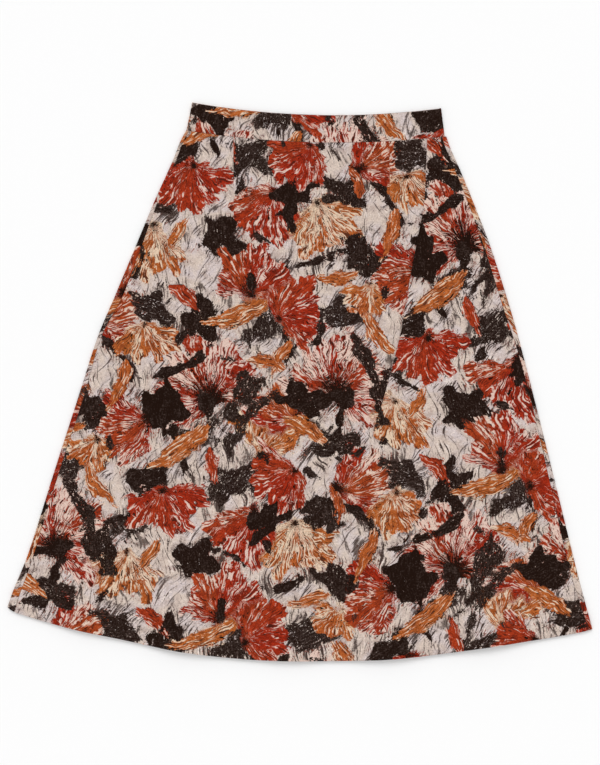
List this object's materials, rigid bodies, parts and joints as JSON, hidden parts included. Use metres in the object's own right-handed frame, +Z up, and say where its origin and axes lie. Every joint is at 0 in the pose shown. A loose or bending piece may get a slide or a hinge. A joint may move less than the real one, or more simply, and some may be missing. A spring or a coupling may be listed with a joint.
{
  "type": "a-line skirt, laid flat",
  "caption": "A-line skirt of printed crepe with a curved waistband and front darts, lying flat with its front up.",
  "frame": {"origin": "under the middle of the skirt's bounding box, on the surface it lies on", "axes": "+X to the right as seen from above with the waist at the far end, +Y from the hem to the waist, +Z up out of the front"},
  "size_m": [0.7992, 0.7614, 0.0112],
  "materials": {
    "skirt_cloth": "matt printed crepe, painterly flowers in brick red, orange and charcoal on pale stone",
    "waistband_cloth": "the same printed crepe, doubled and stiffened"
  },
  "bodies": {
    "root": {"front_panel": "skirt_cloth", "back_panel": "skirt_cloth", "waistband_front": "waistband_cloth", "waistband_back": "waistband_cloth"}
  },
  "joints": []
}
